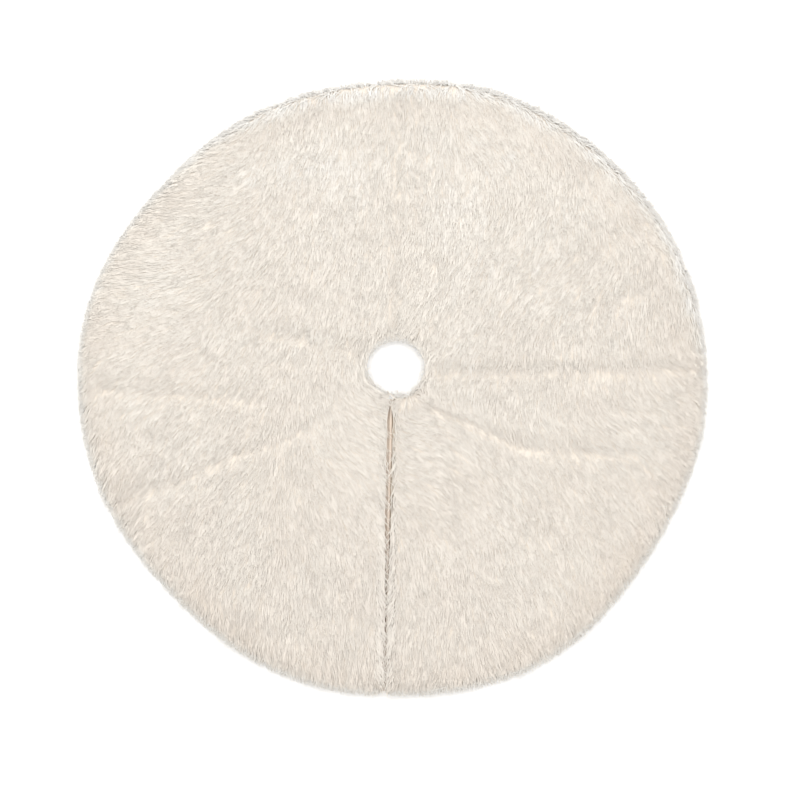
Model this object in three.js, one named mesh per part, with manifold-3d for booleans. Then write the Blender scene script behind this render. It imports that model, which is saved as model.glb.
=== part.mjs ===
// Round tree skirt of long-pile faux fur with a trunk hole and one slit: millimetres, +Z up.
// The origin is on the floor at the centre of the trunk hole; the slit runs towards -Y.
import * as THREE from 'three';
import { mergeVertices } from 'three/addons/utils/BufferGeometryUtils.js';
import Module from 'manifold-3d';

// ---- driving dimensions ----
const skirtR = 609.5; // outer radius over the fur: a 48 inch skirt
const holeR = 57; // trunk hole, 4.5 inches across
const furTop = 18; // height of the lying pile
const liningT = 1.2; // lining cloth
const layerGap = 0.3; // between layers and between pieces that meet
const foldGap = 0.15; // each side of a fold line
const slitX = -8; // the slit lies a little left of the hole's centre
const tapeT = 0.9; // tapes, facings, hook and loop
const tapeLift = 0.3; // tapes stay just clear of the floor

const rimTapeW = 22; // hem tape, and how far it sits in from the fur's edge
const rimTapeInset = 9;
const holeTapeW = 22;
const holeTapeInset = 4;
const facingW = 40; // cloth facing along each edge of the slit
const bindingW = 12; // smooth strip that shows along the slit's left edge
const bindingTop = 9;
const tabLength = 66; // hook tab, across the slit
const tabReach = 28; // of which this much lies under the right flap
const tabW = 25;
const patchLength = 24; // loop patch under the right flap
const tabPlaces = [-160, -335, -510]; // y of each closure
const labelSize = [46, 28, 0.35];
const labelPlace = [150, 528];

const turns = 72; // facets round a full circle
const farAway = 700; // past the rim on every side

// ---- layers ----
const furBase = liningT + layerGap;
const patchZ = tapeLift + tapeT + layerGap; // the layer above a hook tab
const rightFacingZ = patchZ + tapeT + layerGap; // the layer above a loop patch
const hemR = skirtR - rimTapeInset;
const liningOuterR = hemR - rimTapeW - layerGap;
const holeTapeR = holeR + holeTapeInset;
const liningInnerR = holeTapeR + holeTapeW + layerGap;

// ---- materials ----
function cloth(color, roughness) {
  return new THREE.MeshStandardMaterial({ color, roughness, metalness: 0 });
}
const furCloth = cloth('#ece3d6', 0.9);
const liningCloth = cloth('#e9e0d2', 0.55);
const cottonTape = cloth('#e6d9c6', 0.8);
const bindingCloth = cloth('#e6d5c3', 0.6);
const hookTape = cloth('#e4ddd0', 0.5);
const loopTape = cloth('#ebe4d8', 0.85);
const labelSatin = cloth('#f6f3ec', 0.4);

// ---- solids ----
const wasm = await Module();
wasm.setup();

function toSolid(geometry) {
  geometry.deleteAttribute('normal');
  geometry.deleteAttribute('uv');
  const merged = mergeVertices(geometry, 1e-4);
  return new wasm.Manifold(new wasm.Mesh({
    numProp: 3,
    vertProperties: new Float32Array(merged.attributes.position.array),
    triVerts: new Uint32Array(merged.index.array),
  }));
}

function toGeometry(solid) {
  const mesh = solid.getMesh();
  const geometry = new THREE.BufferGeometry();
  geometry.setAttribute('position', new THREE.BufferAttribute(mesh.vertProperties, 3));
  geometry.setIndex(new THREE.BufferAttribute(mesh.triVerts, 1));
  geometry.computeVertexNormals();
  return geometry;
}

// A closed outline of (radius, height) points turned once about +Z. The outline runs anticlockwise.
function turned(outline) {
  const closed = [...outline, outline[0]];
  const geometry = new THREE.LatheGeometry(closed, turns);
  geometry.rotateX(Math.PI / 2);
  return toSolid(geometry);
}

function flatRing(innerR, outerR, z0, z1) {
  return turned([
    new THREE.Vector2(innerR, z0),
    new THREE.Vector2(outerR, z0),
    new THREE.Vector2(outerR, z1),
    new THREE.Vector2(innerR, z1),
  ]);
}

function block(x0, x1, y0, y1, z0, z1) {
  const geometry = new THREE.BoxGeometry(x1 - x0, y1 - y0, z1 - z0);
  geometry.translate((x0 + x1) / 2, (y0 + y1) / 2, (z0 + z1) / 2);
  return toSolid(geometry);
}

// An outline in X and Z, carried along Y from y0 to y1.
function strip(shape, y0, y1) {
  const geometry = new THREE.ExtrudeGeometry(shape, {
    depth: y1 - y0,
    bevelEnabled: false,
    curveSegments: 5,
  });
  geometry.rotateX(Math.PI / 2);
  geometry.translate(0, y1, 0);
  return toSolid(geometry);
}

// ---- the three zones that fold on each other ----
const backZone = block(-farAway, farAway, foldGap, farAway, -farAway, farAway);

function leftZone(edgeX) {
  return block(-farAway, edgeX, -farAway, -foldGap, -farAway, farAway);
}

function rightZone(edgeX) {
  return block(edgeX, farAway, -farAway, -foldGap, -farAway, farAway);
}

const leftEdge = slitX - layerGap / 2;
const rightEdge = slitX + layerGap / 2;

// ---- fur: rounded over at the rim, at the hole and along the slit ----
const rimRound = 9;
const hemRound = 4;
const edgeRound = 7; // hole and slit

function furRing() {
  const outline = new THREE.Path();
  outline.moveTo(holeR + hemRound, furBase);
  outline.absarc(skirtR - hemRound, furBase + hemRound, hemRound, -Math.PI / 2, 0, false);
  outline.absarc(skirtR - rimRound, furTop - rimRound, rimRound, 0, Math.PI / 2, false);
  outline.absarc(holeR + edgeRound, furTop - edgeRound, edgeRound, Math.PI / 2, Math.PI, false);
  outline.lineTo(holeR, furBase + hemRound);
  const points = outline.getPoints(4);
  return turned(points.filter((p, i) => i === 0 || p.distanceTo(points[i - 1]) > 0.01));
}

// Everything to one side of a slit edge, with the edge's top corner rounded; side is -1 for left.
function flapMask(edgeX, side) {
  const shape = new THREE.Shape();
  shape.moveTo(side * farAway, -1);
  shape.lineTo(edgeX, -1);
  shape.lineTo(edgeX, furTop - edgeRound);
  const centreX = edgeX + side * edgeRound;
  const startAngle = side < 0 ? 0 : Math.PI;
  shape.absarc(centreX, furTop - edgeRound, edgeRound, startAngle, Math.PI / 2, side > 0);
  shape.lineTo(centreX, furTop + 1);
  shape.lineTo(side * farAway, furTop + 1);
  return strip(shape, -farAway, -foldGap);
}

const fur = furRing();
const leftFurEdge = leftEdge - bindingW - layerGap;

// The room under a flap's edge for its facing and for what is sewn to that.
function pocket(x0, x1, facingZ) {
  return block(x0, x1, -farAway, 0, -1, facingZ + tapeT + layerGap);
}
const leftPocket = pocket(slitX - facingW - layerGap, slitX, patchZ);
const rightPocket = pocket(slitX, slitX + facingW + layerGap, rightFacingZ);

const furBack = fur.intersect(backZone);
const furFrontLeft = fur.intersect(flapMask(leftFurEdge, -1)).subtract(leftPocket);
const furFrontRight = fur.intersect(flapMask(rightEdge, 1)).subtract(rightPocket);

// ---- lining, with a shallow seat for the care label ----
const [labelX, labelY, labelZ] = labelSize;
const [labelAtX, labelAtY] = labelPlace;
const labelLift = 0.2; // clear of the floor

function labelBlock(grow, z0) {
  return block(
    labelAtX - labelX / 2 - grow, labelAtX + labelX / 2 + grow,
    labelAtY - labelY / 2 - grow, labelAtY + labelY / 2 + grow,
    z0, labelLift + labelZ + grow);
}

const lining = flatRing(liningInnerR, liningOuterR, 0, liningT);
const liningBack = lining.intersect(backZone).subtract(labelBlock(layerGap, -1));
const liningFrontLeft = lining.intersect(leftZone(slitX - facingW - layerGap));
const liningFrontRight = lining.intersect(rightZone(slitX + facingW + layerGap));

// ---- tapes at the hole and the rim ----
const holeTape = flatRing(holeTapeR, holeTapeR + holeTapeW, tapeLift, tapeLift + tapeT);
const rimTape = flatRing(hemR - rimTapeW, hemR, tapeLift, tapeLift + tapeT);

// ---- slit: a facing under each edge, and the binding that shows on the left ----
function facing(zone, z0) {
  return flatRing(liningInnerR, liningOuterR, z0, z0 + tapeT).intersect(zone);
}
const leftFacing = facing(
  block(slitX - facingW, leftEdge, -farAway, -foldGap, -1, furTop), patchZ);
const rightFacing = facing(
  block(rightEdge, slitX + facingW, -farAway, -foldGap, -1, furTop), rightFacingZ);

function slitBinding() {
  const z0 = patchZ + tapeT + layerGap;
  const roll = bindingW / 4; // the rolled edge next to the slit is half as wide as the strip
  const legTop = z0 + 2;
  const shape = new THREE.Shape();
  shape.moveTo(leftEdge - bindingW, z0);
  shape.lineTo(leftEdge, z0);
  shape.lineTo(leftEdge, bindingTop - roll);
  shape.absarc(leftEdge - roll, bindingTop - roll, roll, 0, Math.PI, false);
  shape.lineTo(leftEdge - 2 * roll, legTop);
  shape.lineTo(leftEdge - bindingW, legTop);
  const whole = flatRing(holeR + 4, skirtR - 6, 0, furTop);
  return strip(shape, -farAway, -foldGap).intersect(whole);
}

// ---- hook and loop closures ----
function hookTab(y) {
  const x1 = slitX + tabReach;
  return block(x1 - tabLength, x1, y - tabW / 2, y + tabW / 2, tapeLift, tapeLift + tapeT);
}

function loopPatch(y) {
  const x1 = slitX + tabReach - 1;
  return block(x1 - patchLength, x1, y - tabW / 2, y + tabW / 2, patchZ, patchZ + tapeT);
}

// ---- assembly ----
const skirt = new THREE.Group();
skirt.name = 'tree_skirt';

function add(name, solid, material) {
  const mesh = new THREE.Mesh(toGeometry(solid), material);
  mesh.name = name;
  skirt.add(mesh);
}

add('fur_back', furBack, furCloth);
add('fur_front_left', furFrontLeft, furCloth);
add('fur_front_right', furFrontRight, furCloth);
add('lining_back', liningBack, liningCloth);
add('lining_front_left', liningFrontLeft, liningCloth);
add('lining_front_right', liningFrontRight, liningCloth);
for (const [name, ring] of [['hole_tape', holeTape], ['rim_tape', rimTape]]) {
  add(`${name}_back`, ring.intersect(backZone), cottonTape);
  add(`${name}_front_left`, ring.intersect(leftZone(leftEdge)), cottonTape);
  add(`${name}_front_right`, ring.intersect(rightZone(rightEdge)), cottonTape);
}
add('left_slit_facing', leftFacing, liningCloth);
add('right_slit_facing', rightFacing, liningCloth);
add('left_slit_binding', slitBinding(), bindingCloth);
tabPlaces.forEach((y, i) => {
  add(`hook_tab_${i + 1}`, hookTab(y), hookTape);
  add(`loop_patch_${i + 1}`, loopPatch(y), loopTape);
});
add('care_label', labelBlock(0, labelLift), labelSatin);

export default skirt;
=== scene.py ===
import math

import bpy
import numpy as np
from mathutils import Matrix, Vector


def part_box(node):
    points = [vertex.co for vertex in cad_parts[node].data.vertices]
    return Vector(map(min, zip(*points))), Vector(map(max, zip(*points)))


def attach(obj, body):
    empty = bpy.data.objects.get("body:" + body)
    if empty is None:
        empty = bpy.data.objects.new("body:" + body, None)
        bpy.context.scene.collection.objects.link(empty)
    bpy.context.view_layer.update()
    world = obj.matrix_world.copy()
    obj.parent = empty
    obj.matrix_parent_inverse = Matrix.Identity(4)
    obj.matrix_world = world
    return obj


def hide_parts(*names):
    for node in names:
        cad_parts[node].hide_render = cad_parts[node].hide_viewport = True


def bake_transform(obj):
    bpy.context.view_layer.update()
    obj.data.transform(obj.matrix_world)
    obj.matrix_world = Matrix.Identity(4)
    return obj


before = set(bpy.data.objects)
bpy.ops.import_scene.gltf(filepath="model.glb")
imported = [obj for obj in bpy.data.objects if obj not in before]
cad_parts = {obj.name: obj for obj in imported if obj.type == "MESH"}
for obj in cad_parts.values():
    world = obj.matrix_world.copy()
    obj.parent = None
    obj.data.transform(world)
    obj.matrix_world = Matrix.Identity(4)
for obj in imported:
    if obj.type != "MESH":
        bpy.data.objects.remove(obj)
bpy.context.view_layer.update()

# A round tree skirt of long-pile faux fur that lies flat, with its slit towards -Y. Metres.

mm = 0.001
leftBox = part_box("fur_front_left")
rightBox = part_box("fur_front_right")
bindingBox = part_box("left_slit_binding")
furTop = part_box("fur_back")[1].z

skirt = {
    "clothRadius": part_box("fur_back")[1].y - 13 * mm,   # where the backing turns under at the rim
    "holeRadius": 58 * mm,        # of the cloth; the pile leans in over it
    "clothTop": 4.4 * mm,         # the face of the backing, on which the pile stands
    "clothThick": 0.8 * mm,
    "turn": 1.75 * mm,            # radius of a turned edge
    "hem": 16 * mm,               # how far the turned edge reaches back underneath
    "leftEdge": leftBox[1].x,     # the left flap's fur ends here, at the binding
    "rightEdge": rightBox[0].x,   # the right flap's fur ends here, at the slit
    "foldBand": 46 * mm,          # cloth that rolls over when a flap folds back
    "swell": 1.5 * mm,            # how far the cloth lifts off the floor in places
    "slant": 4.5 * mm,            # the slit lies slanting, its ends this far to each side
    "waver": 0.9 * mm,            # and wavers by this much
}
# Shallow lobes round the rim: how many, how deep in mm, and where in degrees.
rimLobes = [(2, 3.0, 130), (3, 6.5, 143), (4, 3.0, 19), (6, 2.3, 4), (8, 2.2, 219)]
slitMiddle = (skirt["leftEdge"] + skirt["rightEdge"]) / 2
fieldHalf = 0.70                  # half the side of the square that the noise fields cover


def linear(hexColour):
    # sRGB hex to the linear numbers that shaders take
    parts = [int(hexColour[i:i + 2], 16) / 255 for i in (1, 3, 5)]
    return tuple(c / 12.92 if c <= 0.04045 else ((c + 0.055) / 1.055) ** 2.4 for c in parts) + (1.0,)


def addNode(tree, kind, settings=None, links=None):
    # settings are a node's own options or its sockets' values; links join its sockets to
    # other nodes' outputs
    node = tree.nodes.new(kind)
    for name, value in (settings or {}).items():
        if isinstance(name, str) and hasattr(node, name):
            setattr(node, name, value)
        else:
            node.inputs[name].default_value = value
    for name, source in (links or {}).items():
        tree.links.new(source, node.inputs[name])
    return node


def newMaterial(name):
    material = bpy.data.materials.new(name)
    material.use_nodes = True
    material.node_tree.nodes.clear()
    return material, material.node_tree


def setStops(ramp, stops):
    # stops: (place, hex colour), from 0 to 1
    band = ramp.color_ramp
    while len(band.elements) < len(stops):
        band.elements.new(0.5)
    for element, (place, colour) in zip(band.elements, stops):
        element.position = place
        element.color = linear(colour)
    return ramp


def softNoise(x, y, cell, seed):
    # a smooth random field from about -1 to 1 that changes over one cell
    side = int(2 * fieldHalf / cell) + 4
    grid = np.random.default_rng(seed).uniform(-1, 1, (side, side))
    u, v = (x + fieldHalf) / cell, (y + fieldHalf) / cell
    i = np.clip(u.astype(int), 0, side - 2)
    j = np.clip(v.astype(int), 0, side - 2)
    a, b = np.clip(u - i, 0, 1), np.clip(v - j, 0, 1)
    a, b = a * a * (3 - 2 * a), b * b * (3 - 2 * b)
    low = grid[i, j] * (1 - a) + grid[i + 1, j] * a
    high = grid[i, j + 1] * (1 - a) + grid[i + 1, j + 1] * a
    return low * (1 - b) + high * b


def unit(v):
    return v / (np.linalg.norm(v, axis=-1, keepdims=True) + 1e-12)


def lay(points):
    # from the flat pattern to how the skirt lies: lobes round the rim, low swells, a slanting slit
    x, y = points[..., 0], points[..., 1]
    angle, r = np.arctan2(y, x), np.hypot(x, y)
    lobe = sum(deep * mm * np.cos(count * angle - math.radians(place))
               for count, deep, place in rimLobes)
    stretch = 1 + lobe / skirt["clothRadius"] * np.clip(r / skirt["clothRadius"], 0, 1.2) ** 2
    swell = 0.5 + 0.5 * softNoise(x, y, 0.16, 11) + 0.25 * softNoise(x, y, 0.05, 12)
    z = points[..., 2] + skirt["swell"] * np.clip(swell, 0, 1)
    slant = skirt["slant"] * np.clip((y + 0.33) / 0.27, -1.1, 1) * np.exp(-(x / 0.12) ** 2)
    slant += skirt["waver"] * softNoise(0 * y, y, 0.07, 13) * np.exp(-(x / 0.05) ** 2)
    slant *= np.clip(-y / 0.055, 0, 1) ** 2        # the back half isn't moved
    return np.stack([x * stretch + slant, y * stretch, z], -1)


def buildMesh(name, points, faces, material, tones=None, normals=None):
    # faces: rows of 3 or 4 vertex numbers; tones: two numbers a vertex, kept as a UV map
    points = np.asarray(points, np.float32).reshape(-1, 3)
    faces = np.asarray(faces, np.int32)
    a, b, c = points[faces[:, 0]], points[faces[:, 1]], points[faces[:, 2]]
    volume = (a * np.cross(b, c)).sum()
    if faces.shape[1] == 4:
        volume += (a * np.cross(c, points[faces[:, 3]])).sum()
    if volume < 0:                # a closed piece's faces point out
        faces = faces[:, ::-1]
    count, corners = faces.shape
    mesh = bpy.data.meshes.new(name)
    mesh.vertices.add(len(points))
    mesh.vertices.foreach_set("co", points.ravel())
    mesh.loops.add(count * corners)
    mesh.loops.foreach_set("vertex_index", np.ascontiguousarray(faces).ravel())
    mesh.polygons.add(count)
    mesh.polygons.foreach_set("loop_start", np.arange(0, count * corners, corners, dtype=np.int32))
    mesh.polygons.foreach_set("use_smooth", np.ones(count, bool))
    mesh.update(calc_edges=True)
    if tones is not None:
        layer = mesh.uv_layers.new(name="OFBake")
        layer.data.foreach_set("uv", np.asarray(tones, np.float32)[faces.ravel()].ravel())
    if normals is not None:
        mesh.normals_split_custom_set_from_vertices(normals.reshape(-1, 3).tolist())
    mesh.materials.append(material)
    piece = bpy.data.objects.new(name, mesh)
    bpy.context.scene.collection.objects.link(piece)
    return piece


def fasten(piece, zone):
    # the back rides on the back half's body; a front flap's pieces are only baked in place, unparented
    if zone == "back":
        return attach(piece, "back_half")
    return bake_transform(piece)


def modacrylicPile():
    # Modacrylic pile: crimped fibres sheared to one length. The eye sees cream tips with a low
    # satin sheen, and warmer, darker roots where light doesn't reach.
    material, tree = newMaterial("modacrylicPile")
    place = addNode(tree, "ShaderNodeUVMap", {"uv_map": "OFBake"})
    parts = addNode(tree, "ShaderNodeSeparateXYZ", links={"Vector": place.outputs["UV"]})
    tip = addNode(tree, "ShaderNodeValToRGB", links={"Fac": parts.outputs["X"]})
    setStops(tip, [(0.0, "#e4d6c5"), (0.35, "#efe5d9"), (0.7, "#f4ede2"), (1.0, "#fcf9f3")])
    root = addNode(tree, "ShaderNodeValToRGB", links={"Fac": parts.outputs["X"]})
    setStops(root, [(0.0, "#e2d3c1"), (1.0, "#f6efe5")])
    along = addNode(tree, "ShaderNodeMapRange", {"interpolation_type": "SMOOTHSTEP", "From Min": 0.0,
                    "From Max": 0.5}, {"Value": parts.outputs["Y"]})
    colour = addNode(tree, "ShaderNodeMix", {"data_type": "RGBA"},
                     {0: along.outputs["Result"], 6: root.outputs["Color"], 7: tip.outputs["Color"]})
    finish = addNode(tree, "ShaderNodeBsdfPrincipled",
                     {"Roughness": 0.7, "IOR": 1.52, "Specular IOR Level": 0.12,
                      "Sheen Weight": 0.12, "Sheen Roughness": 0.5},
                     {"Base Color": colour.outputs[2]})
    addNode(tree, "ShaderNodeOutputMaterial", links={"Surface": finish.outputs["BSDF"]})
    return material


def clothMaterial(name, stops, threadGap, depth, roughness, sheen=0.1, patch=60, slant=0):
    # Woven or knitted cloth: crossing rows of thread threadGap mm apart, pressed in depth mm deep,
    # and a slow change of tone over patch mm. The real threads are 0.3 to 0.8 mm apart, too fine
    # to show, so the rows are drawn 2 mm apart or more.
    material, tree = newMaterial(name)
    place = addNode(tree, "ShaderNodeTexCoord")
    turned = addNode(tree, "ShaderNodeMapping", {"Rotation": (0, 0, math.radians(slant))},
                     {"Vector": place.outputs["Object"]})
    scale = 0.314 / (threadGap * mm)      # a wave's period is 0.314 over its scale
    rows = []
    for axis in ("X", "Y"):
        settings = {"wave_type": "BANDS", "bands_direction": axis, "Scale": scale,
                    "Distortion": 0.8, "Detail": 1.0, "Detail Scale": 1.5}
        rows.append(addNode(tree, "ShaderNodeTexWave", settings,
                            {"Vector": turned.outputs["Vector"]}))
    weave = addNode(tree, "ShaderNodeMath", {"operation": "MULTIPLY"},
                    {0: rows[0].outputs["Fac"], 1: rows[1].outputs["Fac"]})
    slow = addNode(tree, "ShaderNodeTexNoise", {"Scale": 1 / (patch * mm), "Detail": 3.0},
                   {"Vector": place.outputs["Object"]})
    both = addNode(tree, "ShaderNodeMath", {"operation": "MULTIPLY_ADD", 1: 0.35},
                   {0: weave.outputs[0], 2: slow.outputs["Fac"]})
    colour = setStops(addNode(tree, "ShaderNodeValToRGB", links={"Fac": both.outputs[0]}), stops)
    bump = addNode(tree, "ShaderNodeBump", {"Strength": 0.6, "Distance": depth * mm},
                   {"Height": weave.outputs[0]})
    finish = addNode(tree, "ShaderNodeBsdfPrincipled",
                     {"Roughness": roughness, "IOR": 1.5, "Sheen Weight": sheen},
                     {"Base Color": colour.outputs["Color"], "Normal": bump.outputs["Normal"]})
    addNode(tree, "ShaderNodeOutputMaterial", links={"Surface": finish.outputs["BSDF"]})
    return material


pileFinish = modacrylicPile()
# Dense short fibres under the long ones, seen in the gaps between strands: a little warmer and darker
# than the tips as painted shade in the gaps, and dull.
underFinish = clothMaterial("modacrylicUndercoat", [(0.3, "#ecdfce"), (0.9, "#f5ece0")],
                            2.4, 0.8, 0.9, sheen=0.2, patch=10)
# Warp-knitted polyester backing: fine ribs, off-white, dull.
backingFinish = clothMaterial("polyesterKnitBacking", [(0.3, "#d8cbb8"), (0.9, "#e9dfd0")],
                              2.0, 0.3, 0.85)
# Polyester twill lining, calendered: smooth with a soft shine and slanting rows.
liningFinish = clothMaterial("polyesterTwillLining", [(0.35, "#d0c2ad"), (0.95, "#e8decf")],
                             2.6, 0.25, 0.5, sheen=0.2, slant=30)
# Cotton twill tape, unbleached: coarse slanting rows, matte.
tapeFinish = clothMaterial("cottonTwillTape", [(0.35, "#d3c2a8"), (0.95, "#e6d9c4")],
                           2.2, 0.4, 0.8, slant=45)
# Satin bias binding: pale beige and smooth, with a dull shine along its roll.
bindingFinish = clothMaterial("satinBiasBinding", [(0.35, "#dfccb8"), (0.95, "#ecdccc")],
                              2.0, 0.1, 0.6, sheen=0.1, patch=25, slant=45)
# Nylon hook tape: a woven ground with rows of moulded hooks, faintly shiny.
hookFinish = clothMaterial("nylonHookTape", [(0.35, "#d6ccbb"), (0.95, "#ebe4d8")], 2.0, 0.3, 0.4)
# Brushed nylon loop: fuzzy and matte.
loopFinish = clothMaterial("nylonLoopTape", [(0.35, "#ddd3c4"), (0.95, "#f0e9dd")],
                           2.0, 0.5, 0.9, patch=5)
# Label satin, unprinted: white and smooth.
labelFinish = clothMaterial("labelSatin", [(0.35, "#eae6dc"), (0.95, "#f6f3eb")], 2.0, 0.1, 0.4)
# Spun polyester thread: cream, faintly shiny.
threadFinish = clothMaterial("spunPolyesterThread", [(0.35, "#cdbb9d"), (0.95, "#e2d3ba")],
                             2.0, 0.1, 0.5, patch=4)
print("materials made")

# How the pile rounds off at each edge, in mm: from how far inside it, to how far past it, and how
# far the pile may reach past.
edges = ["rim", "hole", "slit"]
edgeFall = {"rim": (18, 20, 10.5), "hole": (8, 17, 4.5), "slit": (7, 9, 1.2)}


def edgeInfo(x, y, onLeft):
    # depth inside the nearest edge's turn, the way out over that edge, and which edge it is
    r = np.hypot(x, y) + 1e-9
    slitDepth = np.where(onLeft, skirt["leftEdge"] - x, x - skirt["rightEdge"] - skirt["turn"])
    depths = np.stack([skirt["clothRadius"] - skirt["turn"] - r,
                       r - skirt["holeRadius"] - skirt["turn"],
                       np.where(y < 0, slitDepth, 1.0)])
    which = np.argmin(depths, 0)
    outX = np.choose(which, [x / r, -x / r, np.where(onLeft, 1.0, -1.0)])
    outY = np.choose(which, [y / r, -y / r, np.zeros_like(x)])
    return np.min(depths, 0), outX, outY, which


# The pile lies towards -Y. Each stroke of the brush: (x, y, degrees it leans from there towards +X).
brushStrokes = [
    (0.00, 0.45, -3), (-0.20, 0.38, -10), (-0.36, 0.36, -72), (-0.44, 0.20, -80), (-0.47, 0.09, -66),
    (-0.30, 0.22, -30), (-0.28, 0.04, -26), (-0.45, -0.03, -44), (-0.50, -0.16, -20),
    (-0.42, -0.24, -31), (-0.28, -0.15, -26), (-0.33, -0.35, -14), (-0.24, -0.46, 2),
    (-0.13, 0.25, -7), (-0.13, 0.02, -16), (-0.16, -0.10, -2), (-0.12, -0.25, 22), (-0.10, -0.42, 5),
    (-0.07, -0.09, 62), (-0.08, -0.16, 60), (-0.05, -0.22, 38), (-0.04, -0.34, 14), (-0.04, -0.48, 14),
    (0.03, -0.10, 70), (0.04, -0.16, 88), (0.05, -0.22, 52), (0.10, -0.15, 34), (0.12, -0.25, 22),
    (0.10, -0.42, 10), (0.02, -0.40, 0), (0.02, -0.50, -10),
    (0.10, 0.32, -9), (0.12, 0.12, -18), (0.12, 0.00, -26), (0.22, 0.18, -22), (0.30, 0.32, -12),
    (0.34, 0.18, -30), (0.30, 0.00, -12), (0.40, 0.02, 2), (0.50, 0.12, -2), (0.53, -0.06, 46),
    (0.42, -0.13, 50), (0.29, -0.14, 22), (0.44, -0.27, 28), (0.30, -0.32, 18), (0.20, -0.46, 13),
    (0.26, 0.46, 22), (0.43, 0.33, 18),
]
strokeReach = 0.052

# Creases from how it was packed, where the pile parts: one end, the other end, and how deep.
creases = [
    ((0.000, 0.07), (0.004, 0.58), 0.30), ((0.046, 0.30), (0.042, 0.57), 0.22),
    ((-0.045, 0.22), (-0.050, 0.50), 0.12),
    ((0.08, -0.002), (0.56, 0.004), 0.34), ((0.055, -0.075), (0.25, -0.150), 0.42),
    ((0.25, -0.150), (0.44, -0.165), 0.25),
    ((-0.08, 0.045), (-0.27, 0.085), 0.30), ((-0.26, -0.055), (-0.57, -0.035), 0.26),
    ((-0.17, -0.110), (-0.34, -0.185), 0.26), ((-0.34, -0.185), (-0.53, -0.255), 0.22),
    ((0.26, 0.17), (0.48, 0.30), 0.16), ((0.30, 0.10), (0.52, 0.17), 0.16),
]
creaseWidth = 10 * mm


def napLean(x, y):
    # degrees: a weighted mean of the nearby strokes
    weight, total = np.full_like(x, 1e-6), np.zeros_like(x)
    for sx, sy, lean in brushStrokes:
        w = np.exp(-((x - sx) ** 2 + (y - sy) ** 2) / (2 * strokeReach ** 2))
        weight += w
        total += w * lean
    return total / weight


def creaseAt(x, y):
    # how deep the creases are here, and on which side of them this is
    depth, side = np.zeros_like(x), np.zeros_like(x)
    wobble = 3 * mm * softNoise(x, y, 0.05, 21)
    for (ax, ay), (bx, by), share in creases:
        dx, dy = bx - ax, by - ay
        t = np.clip(((x - ax) * dx + (y - ay) * dy) / (dx * dx + dy * dy), 0, 1)
        off = ((y - ay) * dx - (x - ax) * dy) / math.hypot(dx, dy) + wobble
        near = np.hypot(np.hypot(x - ax - t * dx, y - ay - t * dy), wobble)
        g = share * np.exp(-(near / creaseWidth) ** 2)
        depth += g
        side += g * np.clip(off / creaseWidth, -1, 1)
    return depth, side


pile = {
    "spacing": 2.95 * mm,        # between strands; each stands for some fibres stuck together
    "length": 38 * mm,
    "width": 1.45 * mm,
    "taper": (0.85, 1.0, 0.7),   # shares of the width at its three rings, before the point
    "rise": (50, 21, 0),         # degrees above the cloth along root, middle and tip
    "shares": (0.22, 0.30, 0.48),
    "tuft": 12 * mm,
    "clump": 0.16,               # how far a tuft's tips draw together
    "curl": 7,                   # degrees that a strand bends to one side
    "wrap": 140,                 # degrees round a turned edge on which strands stand
    "bindingGap": 2.2 * mm,      # bare cloth beside the binding
    "high": 11 * mm,             # of the pile's surface above the cloth
    "knee": 8 * mm,              # above this, height is eased off below the top
    "lumps": (0.08, 0.03),       # shares of that height, wide ones and fine ones
    "creaseDip": 0.65,           # how far the surface dips at a crease
    "softness": 0.96,            # how far light evens out between neighbouring strands
    "tallLean": 0.4, "leastRise": (0.4, 0.3),     # at an edge, tall hair still faces up
    "sectors": {"back": 8, "left": 4, "right": 5},
}

slitHair = {                     # how far hair reaches over the slit
    "front": 11 * mm,            # near the rim
    "bridge": 20 * mm, "bridgeAt": -0.064, "bridgeHalf": 0.017,     # a tuft across it by the hole
    "ragged": 1.5 * mm,
    "rightShare": 0.4, "leftShare": 0.5,
    "notch": -7 * mm,            # the corners at the rim are rounded off
}


def tuftOf(x, y, cell, seed):
    # the centre of the nearest tuft, and three random numbers that its strands share
    rng = np.random.default_rng(seed)
    side = int(2 * fieldHalf / cell) + 6
    jitter = rng.uniform(0.08, 0.92, (side, side, 2))
    own = rng.normal(size=(side, side, 3))
    i0, j0 = ((x + fieldHalf) / cell + 2).astype(int), ((y + fieldHalf) / cell + 2).astype(int)
    best = np.full_like(x, 1e9)
    centre, shared = np.zeros((len(x), 2)), np.zeros((len(x), 3))
    for di in (-1, 0, 1):
        for dj in (-1, 0, 1):
            i, j = np.clip(i0 + di, 0, side - 1), np.clip(j0 + dj, 0, side - 1)
            cx = (i - 2 + jitter[i, j, 0]) * cell - fieldHalf
            cy = (j - 2 + jitter[i, j, 1]) * cell - fieldHalf
            d = (x - cx) ** 2 + (y - cy) ** 2
            take = d < best
            best[take] = d[take]
            centre[take] = np.stack([cx, cy], -1)[take]
            shared[take] = own[i, j][take]
    return centre, shared


def strandRoots():
    # a jittered staggered grid over the flat pattern, with the turned edges rolled out
    step, half = pile["spacing"], 0.62
    rng = np.random.default_rng(31)
    xs = np.arange(-half, half, step)
    ys = np.arange(-half, half, step * 0.866)
    x, y = np.meshgrid(xs, ys)
    x = x + (np.arange(len(ys)) % 2)[:, None] * step / 2
    x = (x + rng.uniform(-0.45, 0.45, x.shape) * step).ravel()
    y = (y + rng.uniform(-0.45, 0.45, y.shape) * step).ravel()
    depth, _, _, which = edgeInfo(x, y, x < slitMiddle)
    leftSide = (which == 2) & (x < slitMiddle)
    rightSide = (which == 2) & (x >= slitMiddle)
    roundTurn = skirt["turn"] * math.radians(pile["wrap"])
    keep = depth > np.select([leftSide, rightSide], [pile["bindingGap"], -roundTurn / 3], -roundTurn)
    return x[keep], y[keep]


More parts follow.
